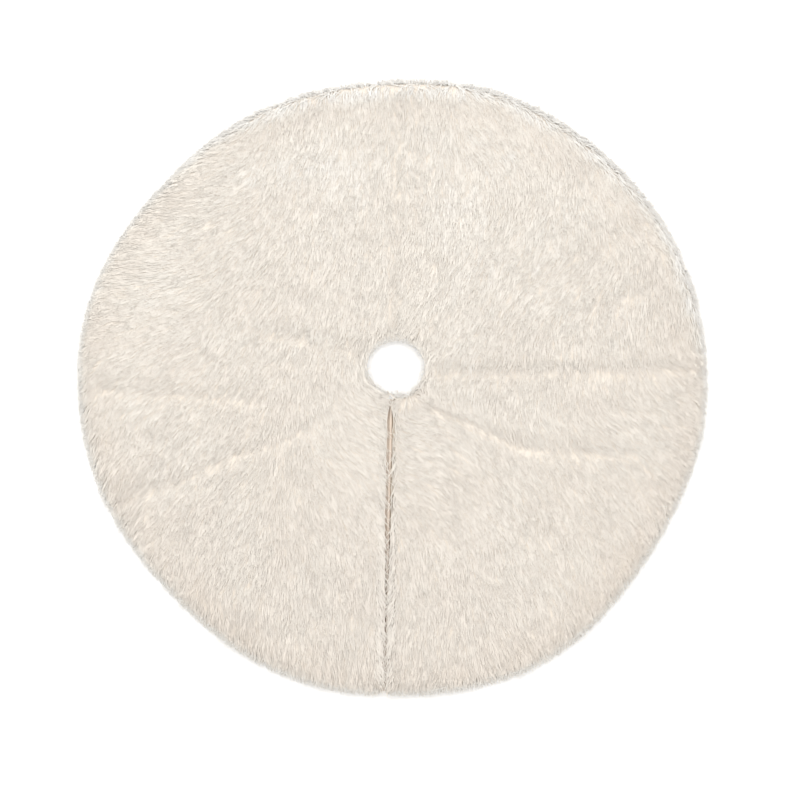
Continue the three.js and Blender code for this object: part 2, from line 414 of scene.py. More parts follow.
stray = {                        # degrees that strands stray from the brush's way
    "patch": 7, "ruffledPatch": 9, "tuft": 3, "ruffledTuft": 5, "strand": 5,
    "crease": 45,                # away from a crease, on both sides of it
    "bridge": (78, -55),         # the way they lie over the slit by the hole, from its left and right
}


def napField(x, y, shared, ruffle, rng):
    # the way each strand lies, from the brush, the creases and its tuft
    lean = napLean(x, y) + stray["patch"] * softNoise(x, y, 0.06, 41)
    lean += stray["ruffledPatch"] * ruffle * softNoise(x, y, 0.022, 42)
    lean += (stray["tuft"] + stray["ruffledTuft"] * ruffle) * shared[:, 0]
    lean += rng.normal(0, stray["strand"], len(x)) + stray["crease"] * creaseAt(x, y)[1]
    bridge = np.exp(-((x - slitMiddle) / 0.035) ** 4 - ((y + 0.062) / 0.020) ** 4)
    lean += (np.where(x < slitMiddle, *stray["bridge"]) - lean) * bridge
    lean = np.radians(lean)
    return np.stack([np.sin(lean), -np.cos(lean), np.zeros(len(x))], -1)


spill = {                        # how the pile falls over an edge
    "shares": [1.0, 0.6, 0.45],  # at the rim, the hole and the slit
    "reach": 9 * mm,             # it fades inwards over this
    "uneven": 5 * mm,            # from tuft to tuft, so that there's no clear parting
}


def spillOver(nap, out, depth, which, shared, rng):
    # with nothing beside it to hold it up, the pile falls outwards over an edge
    share = np.choose(which, spill["shares"])
    uneven = spill["uneven"] * np.clip(shared[:, 1], -1.5, 1.5) * (which != 2)
    spilt = (share * np.exp(-np.clip(depth + uneven, 0, None) / spill["reach"]))[:, None]
    push = 0.95 + 0.5 * rng.normal(size=(len(depth), 1))
    way = nap * (1 - 0.5 * spilt) + out * spilt * push
    upright = np.clip(1 - np.linalg.norm(way, axis=-1), 0, 1)
    return unit(way), upright


def reliefNormal(x, y, fall, out, tall):
    # the way the pile's surface faces: lumps, creases and, most for low hair, the round shoulder
    step = 2 * mm
    slopes = [(relief(x + dx, y + dy) - relief(x - dx, y - dy)) / (2 * step)
              for dx, dy in ((step, 0), (0, step))]
    lean = np.sqrt(np.clip(1 - fall * fall, 0, 1)) * (1 - pile["tallLean"] * tall)
    least, more = pile["leastRise"]
    rise = np.maximum(fall, least + more * tall)
    return unit(np.stack([out[0] * lean - slopes[0], out[1] * lean - slopes[1], rise], -1))


def relief(x, y):
    # the height of the pile's surface above the cloth
    wide, fine = pile["lumps"]
    lump = 1 + wide * softNoise(x, y, 0.03, 51) + fine * softNoise(x, y, 0.011, 52)
    return pile["high"] * lump * (1 - pile["creaseDip"] * np.clip(creaseAt(x, y)[0], 0, 0.7))


def reachPastEdges(x, y, outX, outY, which, sides):
    # how far past each edge the pile may reach, and over how much of it the pile falls off
    inner, outer, most = (np.choose(which, [edgeFall[e][k] * mm for e in edges]) for k in range(3))
    crossing = (slitHair["front"] * np.clip((-0.30 - y) / 0.20, 0, 1)
                * np.clip(0.8 + softNoise(x, y, 0.02, 53), 0.1, 2))
    along = (y - slitHair["bridgeAt"]) / slitHair["bridgeHalf"]
    crossing += slitHair["bridge"] * np.exp(-along ** 2)
    crossing *= np.where(sides, 1, slitHair["rightShare"])
    crossing += slitHair["ragged"] * np.clip(softNoise(0 * y, y, 0.018, 54) + 0.1, 0, 1)
    # hair falls further into the hole from its front and back than from its left
    intoHole = (4.5 * outY ** 2 + 4 * np.clip(outY, 0, 1) - 3 * np.clip(-outX, 0, 1)) * mm
    notch = slitHair["notch"] * np.exp(-((x - slitMiddle) / (14 * mm)) ** 2) * (y < 0)
    most += np.select([which == 2, which == 1, which == 0], [crossing, intoHole, notch], 0)
    outer += np.where(which == 2, 3 * crossing, 0)
    return inner, outer, most


def settlePile(line, onLeft, reach):
    # the pile rounds off past each edge, dips at creases and stays between the floor and its top
    n, count = line.shape[:2]
    x, y, z = line[..., 0].ravel(), line[..., 1].ravel(), line[..., 2].ravel()
    sides, reach = np.repeat(onLeft, count), np.repeat(reach, count)
    depth, outX, outY, which = edgeInfo(x, y, sides)
    inner, outer, most = reachPastEdges(x, y, outX, outY, which, sides)
    most *= reach * np.where((which == 2) & sides, slitHair["leftShare"], 1)
    past = np.clip(-depth, 0, None)
    kept = most * (1 - np.exp(-past / most))
    x = x + outX * (kept - past)
    y = y + outY * (kept - past)
    depth = np.where(depth < 0, -kept, depth)
    t = np.clip((inner - depth) / (inner + outer), 0, 1)
    fall = np.sqrt(1 - t * t)
    cloth, knee = skirt["clothTop"], pile["knee"]
    height = np.clip(z - cloth, 0, None) * relief(x, y) / pile["high"]
    over = np.clip(height - knee, 0, None)
    room = furTop - skirt["swell"] - cloth - knee - pile["width"] / 2
    height = np.minimum(height, knee) + room * (1 - np.exp(-over / room))
    z = (cloth + height) * np.maximum(fall, 0.08) + np.clip(z - cloth, None, 0)
    settled = np.stack([x, y, np.maximum(z, 1.3 * mm)], -1)
    tall = np.clip(height / (0.5 * pile["high"]), 0, 1)
    facing = reliefNormal(x, y, fall, (outX, outY), tall)
    return settled.reshape(n, count, 3), facing.reshape(n, count, 3)


def strandBodies(line, width, facing):
    # three-sided rings and a point, so each strand is a closed body
    n = len(line)
    ways = unit(np.gradient(line, axis=1))
    rings, normals = np.zeros((n, 10, 3)), np.zeros((n, 10, 3))
    for k, size in enumerate(pile["taper"]):
        side = unit(np.cross(ways[:, k], facing[:, k] + 1e-4))
        ridge = unit(np.cross(side, ways[:, k]))
        half = (width * size / 2)[:, None]
        for corner, offset in enumerate((-side, side, 0.8 * ridge)):
            rings[:, 3 * k + corner] = line[:, k] + offset * half
            own = offset * (1 - pile["softness"])
            normals[:, 3 * k + corner] = facing[:, k] * pile["softness"] + own
    rings[:, 9] = line[:, 3]
    normals[:, 9] = facing[:, 3]
    return rings, unit(normals)


wisp = {
    "rim": 7500, "hole": 900, "face": 8000, "slit": 420,     # how many
    "width": 0.45 * mm, "length": (16 * mm, 42 * mm),
    "stray": 24,                                # degrees from the pile's own direction
    "inset": 7 * mm,                            # how far inside an edge its hairs grow
    "over": (30, -26),                          # degrees they lean over the slit, from each side
    "overWidth": 2.4,
    # wisps at the rim and the hole are paler than those on the face: painted light on the fringe
    "paintedLightEdgeTone": 0.93, "faceTone": 0.66,
    "faceRise": (9, 1, -4), "overRise": (8, -5, -14),     # degrees that each third of it rises
    "edgeRise": (12, -14, -34),
}


def growWisps():
    # fine single hairs that stray out of the pile: past the rim and the hole, and over the face
    rng = np.random.default_rng(87)
    edge = wisp["rim"] + wisp["hole"]
    n = edge + wisp["face"] + wisp["slit"]
    turn = rng.uniform(0, 2 * math.pi, n)
    inset = rng.uniform(0, 1, n) ** 1.5 * wisp["inset"]
    r = np.sqrt(rng.uniform(0.02, 0.95, n)) * skirt["clothRadius"]
    r[:wisp["rim"]] = skirt["clothRadius"] - inset[:wisp["rim"]]
    r[wisp["rim"]:edge] = skirt["holeRadius"] + inset[wisp["rim"]:edge]
    x, y = r * np.cos(turn), r * np.sin(turn)
    inSlit = (y < 0) & (x > skirt["leftEdge"] - 1 * mm) & (x < skirt["rightEdge"] + 2 * mm)
    x = np.where(inSlit, x + 16 * mm, x)
    outwards = np.where(np.arange(n) < wisp["rim"], 1.0, -1.0)
    face = np.arange(n) >= edge
    over = np.arange(n) >= edge + wisp["face"]
    leftOne = rng.uniform(0, 1, n) < 0.6
    inwards = rng.uniform(2, 14, n) * mm
    besideSlit = np.where(leftOne, skirt["leftEdge"] - inwards, skirt["rightEdge"] + inwards)
    x = np.where(over, besideSlit, x)
    y = np.where(over, -0.10 - 0.47 * rng.uniform(0, 1, n) ** 0.6, y)
    nap = np.radians(napLean(x, y) + wisp["stray"] * rng.normal(size=n))
    across = np.where(leftOne, *wisp["over"])
    nap = np.where(over, np.radians(across + 10 * rng.normal(size=n)), nap)
    heading = np.where(face, nap - math.pi / 2, turn + np.where(outwards < 0, math.pi, 0)
                       + np.radians(wisp["stray"] * 1.3) * rng.normal(size=n))
    length = rng.uniform(*wisp["length"], n) * np.where(face, 1, 0.75)
    z = np.where(face, pile["high"] * 0.85, rng.uniform(0.1, 0.8, n) * pile["high"])
    line = np.zeros((n, 4, 3))
    line[:, 0] = np.stack([x, y, z + skirt["clothTop"]], -1)
    steps = rng.uniform(0, 32, n)[:, None] + [wisp["edgeRise"]]
    steps = np.where(face[:, None], [wisp["faceRise"]], steps)
    steps = np.where(over[:, None], [wisp["overRise"]], steps)
    for k in range(3):
        rise = np.radians(steps[:, k])
        bend = heading + np.radians(rng.normal(0, 9, n)) * k
        way = np.stack([np.cos(bend) * np.cos(rise), np.sin(bend) * np.cos(rise), np.sin(rise)], -1)
        line[:, k + 1] = line[:, k] + way * (length / 3)[:, None]
    highest = furTop - skirt["swell"] - wisp["width"]
    line[..., 2] = np.clip(line[..., 2], 1.2 * mm, highest)
    facing = np.zeros_like(line)
    facing[..., 2] = 1
    width = wisp["width"] * rng.uniform(0.6, 1.3, n) * np.where(over, wisp["overWidth"], 1)
    rings, normals = strandBodies(line, width, facing)
    tones = np.zeros((n, 10, 2))
    # the paler tone of the edge wisps is painted light
    tone = np.where(face, wisp["faceTone"], wisp["paintedLightEdgeTone"]) + 0.04 * rng.normal(size=n)
    tones[..., 0] = np.clip(tone, 0, 0.99)[:, None]
    tones[..., 1] = 0.98
    return x, y, lay(rings), tones, normals


pileTone = {                      # 0 is warm and dark, 1 pale
    "middle": 0.60, "strand": 0.03, "tuft": 0.04, "patch": 0.07, "back": 0.10,
    # back and rim paint light (paler to the back and at the rim); crease paints shade (darker in
    # creases)
    "ring": 0.16, "crease": 0.25, "rim": 0.45,
}


def growPile():
    x, y = strandRoots()
    n = len(x)
    rng = np.random.default_rng(57)
    onLeft = x < slitMiddle
    centre, shared = tuftOf(x, y, pile["tuft"], 71)
    depth, outX, outY, which = edgeInfo(x, y, onLeft)
    r = np.hypot(x, y)
    creaseDepth = creaseAt(x, y)[0]
    ruffle = 0.5 + 0.5 * softNoise(x, y, 0.14, 33)
    ruffle = np.clip(ruffle + 0.5 * np.exp(-((skirt["clothRadius"] - r) / 0.07) ** 2), 0, 1.4)
    out = np.stack([outX, outY, np.zeros(n)], -1)
    nap, upright = spillOver(napField(x, y, shared, ruffle, rng), out, depth, which, shared, rng)
    up = np.array([0.0, 0.0, 1.0])

    # roots: on the face, or round a turned edge
    turn = (np.clip(-depth, 0, None) / skirt["turn"])[:, None]
    root = np.stack([x, y, np.full(n, skirt["clothTop"])], -1)
    root += out * (np.clip(depth, None, 0)[:, None] + skirt["turn"] * np.sin(turn))
    root -= up * skirt["turn"] * (1 - np.cos(turn))
    normal = out * np.sin(turn) + up * np.cos(turn)
    down = out * np.cos(turn) - up * np.sin(turn)
    across = (nap * out).sum(-1, keepdims=True)
    tangent = unit(across * down + nap - across * out)

    # the line of each strand
    length = pile["length"] * (1 + 0.10 * rng.normal(size=n) + 0.06 * shared[:, 1])
    length *= (1 - 0.35 * creaseDepth) * np.where(turn[:, 0] > 0, 0.75, 1)
    climbing = np.clip(tangent[:, 2:], 0, 1)
    curl = np.radians(rng.normal(0, pile["curl"], n) + 5 * shared[:, 2])
    line = np.zeros((n, 4, 3))
    ways = np.zeros((n, 4, 3))
    line[:, 0] = root
    travelled = 0.0
    for k, (rise, share) in enumerate(zip(pile["rise"], pile["shares"])):
        middle = travelled + share / 2
        travelled += share
        bend = curl * middle
        flat = np.stack([nap[:, 0] * np.cos(bend) - nap[:, 1] * np.sin(bend),
                         nap[:, 0] * np.sin(bend) + nap[:, 1] * np.cos(bend), np.zeros(n)], -1)
        swing = np.clip(climbing * 2.8 * middle, 0, 1)
        way = unit(tangent * (1 - swing) + flat * swing + (flat - nap) * (turn <= 0))
        lift = unit(normal * (1 - middle) + up * middle)
        angle = np.radians(rise + rng.normal(0, 4, n) - 10 * creaseDepth * k + 25 * upright)[:, None]
        ways[:, k] = unit(way * np.cos(angle) + lift * np.sin(angle))
        line[:, k + 1] = line[:, k] + ways[:, k] * (length * share)[:, None]
    ways[:, 3] = ways[:, 2]

    # strands of a tuft draw together towards their tips
    reach = 0.84 * pile["length"] * (1 + 0.1 * shared[:, 1:2])
    meeting = centre + reach * nap[:, :2]
    pull = pile["clump"] * (0.7 + 0.5 * ruffle[:, None]) * (meeting - line[:, 3, :2])
    pull *= np.clip(8 * mm / (np.linalg.norm(pull, axis=-1, keepdims=True) + 1e-9), 0, 1)
    places = np.cumsum((0,) + pile["shares"])
    for k, place in enumerate(places):
        line[:, k, :2] += pull * place ** 2

    line, facing = settlePile(line, onLeft, rng.uniform(0.45, 1.35, n))
    width = pile["width"] * (1 + 0.22 * rng.normal(size=n)).clip(0.5, 1.6)
    rings, normals = strandBodies(line, width, facing)

    # strands and tufts differ a little, and the pile is warmer in a ring inside the rim; it is also
    #     paler at the rim and to the back as painted light, and warmer and darker in creases as
    #     painted shade
    tone = pileTone["middle"] + pileTone["strand"] * rng.normal(size=n)
    tone += pileTone["tuft"] * shared[:, 2] + pileTone["patch"] * softNoise(x, y, 0.07, 61)
    # paler to the back: painted light
    tone += pileTone["back"] * np.clip(y / 0.5, -1, 1)
    tone -= pileTone["ring"] * np.exp(-((r - 0.555) / 0.035) ** 2)
    # darker in creases: painted shade
    tone -= pileTone["crease"] * creaseDepth
    # paler at the rim: painted light
    tone += pileTone["rim"] * np.clip((r - 0.570) / 0.025, 0, 1)
    tones = np.zeros((n, 10, 2))
    tones[..., 0] = np.clip(tone, 0.02, 0.98)[:, None]
    tones[..., 1] = 0.01 + 0.98 * np.repeat(places, (3, 3, 3, 1))
    return x, y, lay(rings), tones, normals


def strandFaces():
    faces = [(0, 1, 2)]
    for k in (0, 3):
        for p, q in ((0, 1), (1, 2), (2, 0)):
            faces += [(k + q, k + p, k + 3 + p), (k + q, k + 3 + p, k + 3 + q)]
    faces += [(6 + q, 6 + p, 9) for p, q in ((0, 1), (1, 2), (2, 0))]
    return np.array(faces)


def makePile():
    # a strand that reaches past the fold line belongs to its flap, and each zone is cut in sectors
    x, y, rings, tones, normals = (np.concatenate(pair) for pair in zip(growPile(), growWisps()))
    front = rings[..., 1].min(1) < 0
    left = front & (x < slitMiddle)
    turned = np.degrees(np.arctan2(y, x)) % 360
    starts = {"back": 0, "left": 180, "right": 270}
    masks = {"back": ~front, "left": left, "right": front & ~left}
    pattern = strandFaces()
    pieces = {}
    for zone, sectors in pile["sectors"].items():
        wide = (180 if zone == "back" else 90) / sectors
        angle = np.where(turned < 90, turned + 360, turned) if zone == "right" else turned
        sector = np.clip((angle - starts[zone]) // wide, 0, sectors - 1)
        pieces[zone] = []
        for s in range(sectors):
            mine = np.flatnonzero(masks[zone] & (sector == s))
            faces = (pattern[None] + 10 * np.arange(len(mine))[:, None, None]).reshape(-1, 3)
            piece = buildMesh(f"pile_{zone}_{s + 1}", rings[mine], faces, pileFinish,
                              tones[mine].reshape(-1, 2), normals[mine])
            pieces[zone].append(fasten(piece, zone))
    print("pile grown:", len(x), "strands")
    return pieces


def zoneGrid(zone, radii, angleSteps, leftEdge, rightEdge):
    # rows of points at each radius, from the fold line round to the slit
    t = np.linspace(0, 1, angleSteps + 1)
    r = np.asarray(radii, float)
    if zone == "back":
        first, last = np.zeros_like(r), np.full_like(r, math.pi)
    elif zone == "left":
        first, last = np.full_like(r, math.pi), 1.5 * math.pi + np.arcsin(leftEdge / r)
        t = t ** 1.4              # closer steps near the fold line, where the cloth rolls
    else:
        first, last = np.full_like(r, 2 * math.pi), 1.5 * math.pi + np.arcsin(rightEdge / r)
        t = t ** 1.4
    angle = first[:, None] + (last - first)[:, None] * t
    return r[:, None] * np.cos(angle), r[:, None] * np.sin(angle)


def closedShell(top, bottom):
    # two grids of points joined round their edge by a rounded wall
    rows, columns = top.shape[:2]
    number = np.arange(rows * columns).reshape(rows, columns)
    quads = np.stack([number[:-1, :-1], number[1:, :-1], number[1:, 1:], number[:-1, 1:]], -1)
    quads = quads.reshape(-1, 4)
    loop = np.concatenate([number[0, :-1], number[:-1, -1], number[-1, :0:-1], number[:0:-1, 0]])
    t, b = top.reshape(-1, 3), bottom.reshape(-1, 3)
    inside = np.clip(np.stack(np.divmod(loop, columns)), 1, np.array([[rows - 2], [columns - 2]]))
    way = unit(t[loop] - t[inside[0] * columns + inside[1]])
    thick = np.linalg.norm(t[loop] - b[loop], axis=-1, keepdims=True)
    wall = (t[loop] + b[loop]) / 2 + way * thick / 2
    points = np.concatenate([t, b, wall])
    under = rows * columns
    edge = 2 * under + np.arange(len(loop))
    after = np.roll(np.arange(len(loop)), -1)
    faces = [quads, (quads + under)[:, ::-1],
             np.stack([loop, loop[after], edge[after], edge], -1),
             np.stack([edge, edge[after], loop[after] + under, loop + under], -1)]
    return points, np.concatenate(faces)


def ringCloth(name, zone, profile, material, steps, limits=None, crumple=0.0, seed=1):
    # profile: rows of radius, height, the outward normal's two parts and thickness
    radii, heights, outR, outZ, thick = np.array(profile, float).T
    left, right = limits or (skirt["leftEdge"], skirt["rightEdge"])
    x, y = zoneGrid(zone, radii, steps, left, right)
    angle = np.arctan2(y, x)
    waves = softNoise(x, y, 0.024, seed) + 0.6 * softNoise(x, y, 0.009, seed + 1)
    top = np.stack([x, y, heights[:, None] + crumple * waves], -1)
    turned = np.stack([outR[:, None] * np.cos(angle), outR[:, None] * np.sin(angle),
                       np.broadcast_to(outZ[:, None], x.shape)], -1)
    points, faces = closedShell(top, top - turned * thick[:, None, None])
    return fasten(buildMesh(name, lay(points), faces, material), zone)


def flatProfile(inner, outer, height, thick, step=8 * mm):
    count = max(3, int((outer - inner) / step) + 1)
    return [(r, height, 0, 1, thick) for r in np.linspace(inner, outer, count)]


def turnedProfile():
    # the backing's section: hemmed under at the hole, flat across, and hemmed under at the rim
    turn, thick = skirt["turn"], skirt["clothThick"]
    low, middle = skirt["clothTop"] - 2 * turn, skirt["clothTop"] - turn
    inner, outer, hem = skirt["holeRadius"] + turn, skirt["clothRadius"] - turn, skirt["hem"]
    angles = np.radians(np.linspace(0, 180, 9))
    rows = [(r, low, 0, -1, thick) for r in (inner + hem - turn, inner + hem / 2)]
    rows += [(inner - turn * math.sin(a), middle - turn * math.cos(a),
              -math.sin(a), -math.cos(a), thick) for a in angles]
    rows += flatProfile(inner, outer, skirt["clothTop"], thick)[1:-1]
    rows += [(outer + turn * math.sin(a), middle + turn * math.cos(a),
              math.sin(a), math.cos(a), thick) for a in angles]
    rows += [(r, low, 0, -1, thick) for r in (outer - hem / 2, outer - hem + turn)]
    return rows


underside = {                     # in mm
    "tape": (0.25, 0.55), "lining": (0.90, 0.5), "facing": (1.5, 0.75),   # lower face, thickness
    "tapeWide": 22, "facingWide": 41,
    "liningIn": 77, "liningOut": 583,      # the lining's own edges, under the hems
    "liningCrumple": 0.22, "tapeCrumple": 0.12,
}


def layer(name):
    low, thick = underside[name]
    return (low + thick) * mm, thick * mm


def makeCloth(pieces):
    # in each zone: undercoat, backing, lining, and the tapes at the rim and the hole
    outer, inner = skirt["clothRadius"], skirt["holeRadius"]
    for zone in ("back", "left", "right"):
        steps = 300 if zone == "back" else 170
        node = "_back" if zone == "back" else "_front_" + zone
        backing = ringCloth(f"backing_{zone}", zone, turnedProfile(), backingFinish,
                            steps)
        coat = undercoat(zone, steps)
        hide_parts("fur" + node)
        for piece in [coat] + pieces[zone]:
            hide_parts("fur" + node)

        top, thick = layer("lining")
        within, out = underside["liningIn"] * mm, underside["liningOut"] * mm
        gap = underside["facingWide"] * mm - 3 * mm
        limits = (skirt["rightEdge"] - gap, skirt["rightEdge"] + gap)
        lining = ringCloth(f"lining_{zone}_cloth", zone, flatProfile(within, out, top, thick),
                           liningFinish, steps, limits,
                           crumple=underside["liningCrumple"] * mm, seed=81)
        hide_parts("lining" + node)

        top, thick = layer("tape")
        wide = underside["tapeWide"] * mm
        starts = {"rim": outer - skirt["turn"] - wide, "hole": inner + skirt["turn"] + 1 * mm}
        for where, start in starts.items():
            profile = flatProfile(start, start + wide, top, thick, 4 * mm)
            tape = ringCloth(f"{where}_tape_{zone}_cloth", zone, profile, tapeFinish,
                             steps, crumple=underside["tapeCrumple"] * mm, seed=83)
            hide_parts(f"{where}_tape" + node)
    print("cloth laid")


shortPile = {                     # the undercoat
    "share": 0.78,                # of the pile's height
    "lump": 0.3 * mm,
    "shoulder": (26 * mm, 26 * mm, 15 * mm),     # over which it falls at the rim, hole and slit
}


def undercoat(zone, steps):
    # a lumpy mat of short fibres on the backing, under the long pile
    inner, outer = skirt["holeRadius"] + 2 * mm, skirt["clothRadius"] - 2 * mm
    low = skirt["clothTop"] + 0.05 * mm
    radii = [row[0] for row in flatProfile(inner, outer, low, 0, 7 * mm)]
    x, y = zoneGrid(zone, radii, steps, skirt["leftEdge"], skirt["rightEdge"] + 2 * mm)
    depth, _, _, which = (part.reshape(x.shape) for part in
                          edgeInfo(x.ravel(), y.ravel(), (x < slitMiddle).ravel()))
    rise = shortPile["share"] * relief(x, y) + shortPile["lump"] * softNoise(x, y, 0.008, 91)
    shoulder = np.clip(1 - depth / np.choose(which, shortPile["shoulder"]), 0, 0.97)
    rise *= np.sqrt(1 - shoulder * shoulder)
    top = np.stack([x, y, low + rise], -1)
    bottom = np.stack([x, y, np.full_like(x, low)], -1)
    points, faces = closedShell(top, bottom)
    coat = buildMesh(f"undercoat_{zone}", lay(points), faces, underFinish)
    return fasten(coat, zone)


makeCloth(makePile())


def stripCloth(name, zone, section, places, material, crumple=None, corner=0):
    # section: rows of x, z, the outward normal's two parts and thickness; places: y values
    x0, z0, outX, outZ, thick = np.array(section, float).T
    y = np.asarray(places, float)
    x = np.repeat(x0[:, None], len(y), 1)
    z = np.repeat(z0[:, None], len(y), 1)
    yy = np.repeat(y[None], len(x0), 0)
    if crumple is not None:
        x, z = crumple(x, yy, z)
    if corner:
        x, yy = roundCorners(x, yy, corner)
    top = np.stack([x, yy, z], -1)
    turned = np.stack([np.repeat(outX[:, None], len(y), 1), np.zeros_like(x),
                       np.repeat(outZ[:, None], len(y), 1)], -1)
    points, faces = closedShell(top, top - turned * thick[:, None, None])
    return fasten(buildMesh(name, lay(points), faces, material), zone)


def roundCorners(x, y, radius):
    # a rectangle of points with its four corners drawn in to arcs
    for sx in (-1, 1):
        for sy in (-1, 1):
            cornerX, cornerY = (x * sx).max(), (y * sy).max()
            p = (x * sx - (cornerX - radius)) / radius
            q = (y * sy - (cornerY - radius)) / radius
            inside = (p > 0) & (q > 0)
            alongX = radius * p * np.sqrt(1 - np.clip(q, 0, 1) ** 2 / 2)
            alongY = radius * q * np.sqrt(1 - np.clip(p, 0, 1) ** 2 / 2)
            x = np.where(inside, sx * (cornerX - radius + alongX), x)
            y = np.where(inside, sy * (cornerY - radius + alongY), y)
    return x, y


slitTrim = {
    "top": -(skirt["holeRadius"] + 3 * mm), "bottom": -(skirt["clothRadius"] - 2 * mm),
    "step": 3 * mm,
    "thick": 0.7 * mm,
    "rollRadius": 3.1 * mm,       # of the binding's roll along the left edge
    "turn": 0.95 * mm,            # radius of the right facing's turned edge
    "turnedIn": 8 * mm,           # how far that edge comes back over the cloth
    "cut": {"length": 0.536, "binding": 32 * mm, "allowance": 10 * mm},     # flat sizes
}


def rollSection(rollX, rollZ):
    # the binding: a flat valley beside the fur, a roll, and back under the cloth
    radius, thick = slitTrim["rollRadius"], slitTrim["thick"]
    level, low = skirt["clothTop"] + 0.5 * mm, rollZ - radius
    valley = np.linspace(skirt["leftEdge"] - 2 * mm, rollX - 3.1 * mm, 6)
    section = [(x, level, 0, 1, thick) for x in valley]
    for a in np.radians(np.linspace(172, -80, 15)):
        section.append((rollX + radius * math.cos(a), rollZ + radius * math.sin(a),
                        math.cos(a), math.sin(a), thick))
    under = np.linspace(rollX - 1 * mm, skirt["leftEdge"] + 2 * mm, 4)
    return section + [(x, low, 0, -1, thick) for x in under]


def turnedSection(edge, wide):
    # the right facing: along below, round the edge, and a little way back above
    low, turn, thick = 2.7 * mm, slitTrim["turn"], slitTrim["thick"]
    flatTo = edge + turn + 1 * mm
    section = [(x, low, 0, -1, thick) for x in np.linspace(edge + wide, flatTo, 12)]
    for a in np.radians(np.linspace(-90, -270, 7)):
        section.append((edge + turn + turn * math.cos(a), low + turn + turn * math.sin(a),
                        math.cos(a), math.sin(a), thick))
    above = np.linspace(flatTo, edge + slitTrim["turnedIn"], 3)
    return section + [(x, low + 2 * turn, 0, 1, thick) for x in above]


def makeSlit():
    # the binding on the left edge with a facing under it, and the turned facing on the right
    y = np.arange(slitTrim["bottom"], slitTrim["top"], slitTrim["step"])
    rollX = bindingBox[1].x - slitTrim["rollRadius"] - 0.8 * mm
    rollZ = bindingBox[1].z - slitTrim["rollRadius"] - 0.5 * mm
    low = rollZ - slitTrim["rollRadius"]

    def pucker(x, yy, z):
        # small gathers where the seam pulls the satin, and a roll that wanders a little
        pull = softNoise(yy, 0 * yy, 0.007, 95) + 0.6 * softNoise(yy, 0 * yy + 0.1, 0.0035, 96)
        wander = 0.35 * mm * softNoise(yy, 0 * yy + 0.2, 0.03, 97)
        fat = 1 + 0.10 * pull
        raised = low + (z - low) * fat
        rolled = rollX + (x - rollX) * np.minimum(fat, 1.0) + wander - 0.3 * mm
        onRoll = x > rollX - 3 * mm
        valley = ~onRoll & (z > low + 1 * mm)
        ripple = 0.25 * mm * softNoise(yy + x, x, 0.006, 98)
        return np.where(onRoll, rolled, x), raised + valley * ripple

    binding = stripCloth("slit_binding_satin", "left", rollSection(rollX, rollZ), y, bindingFinish,
                         pucker)
    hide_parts("left_slit_binding")

    top, thick = layer("facing")
    edge = skirt["rightEdge"]
    wide = underside["facingWide"] * mm
    section = [(x, top, 0, 1, thick) for x in np.linspace(edge - wide, edge - 0.6 * mm, 12)]
    facing = stripCloth("slit_facing_left_cloth", "left", section, y, tapeFinish)
    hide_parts("left_slit_facing")

    facing = stripCloth("slit_facing_right_cloth", "right", turnedSection(edge, wide), y, tapeFinish)
    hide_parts("right_slit_facing")


def copyShape(points, faces, places):
    # one small shape repeated: places holds the spots and the way that each copy points
    spots, ways = places
    across = np.stack([-ways[:, 1], ways[:, 0], np.zeros(len(ways))], -1)
    moved = (spots[:, None] + points[None, :, :1] * ways[:, None]
             + points[None, :, 1:2] * across[:, None] + points[None, :, 2:] * np.array([0, 0, 1.0]))
    many = faces[None] + len(points) * np.arange(len(spots))[:, None, None]
    return moved.reshape(-1, 3), many.reshape(-1, faces.shape[1])


def tubeShape(line, radius, sides=5):
    # a closed tube of triangles along a short line in the plane of x and z
    line = np.asarray(line, float)
    way = unit(np.gradient(line, axis=0))
    side = np.array([0, 1.0, 0])
    rings = []
    for p, w in zip(line[1:-1], way[1:-1]):
        other = np.cross(w, side)
        for a in np.linspace(0, 2 * math.pi, sides, endpoint=False):
            rings.append(p + radius * (math.cos(a) * side + math.sin(a) * other))
    count = len(line) - 2
    points = np.concatenate([rings, line[:1], line[-1:]])
    faces = []
    for s in range(sides):
        n = (s + 1) % sides
        for k in range(count - 1):
            a, b = k * sides + s, k * sides + n
            faces += [(a, b, a + sides), (b, b + sides, a + sides)]
        last = (count - 1) * sides
        faces += [(s, len(points) - 2, n), (last + s, last + n, len(points) - 1)]
    return points, np.array(faces)


fastening = {                     # in mm
    "wide": 25, "patchWide": 22, "hooksFrom": -5, "hooksTo": 19,     # across and along the slit
    "tabLow": 0.3, "tabThick": 0.45, "patchLow": 1.75, "patchThick": 0.65,
    "hookGap": 1.3, "loopGap": 1.1,      # real ones are closer; these are drawn so that they show
}
# The line of one hook, across and up, in mm: a stem that bends over.
hookLine = [(0, 0), (0, 0.1), (0, 0.45), (0.12, 0.62), (0.35, 0.62), (0.45, 0.45)]


def jitteredGrid(x0, x1, y0, y1, gap, seed, jitter=0.2):
    rng = np.random.default_rng(seed)
    x, y = np.meshgrid(np.arange(x0, x1, gap), np.arange(y0, y1, gap))
    x = x.ravel() + rng.uniform(-jitter, jitter, x.size) * gap
    y = y.ravel() + rng.uniform(-jitter, jitter, y.size) * gap
    return x, y


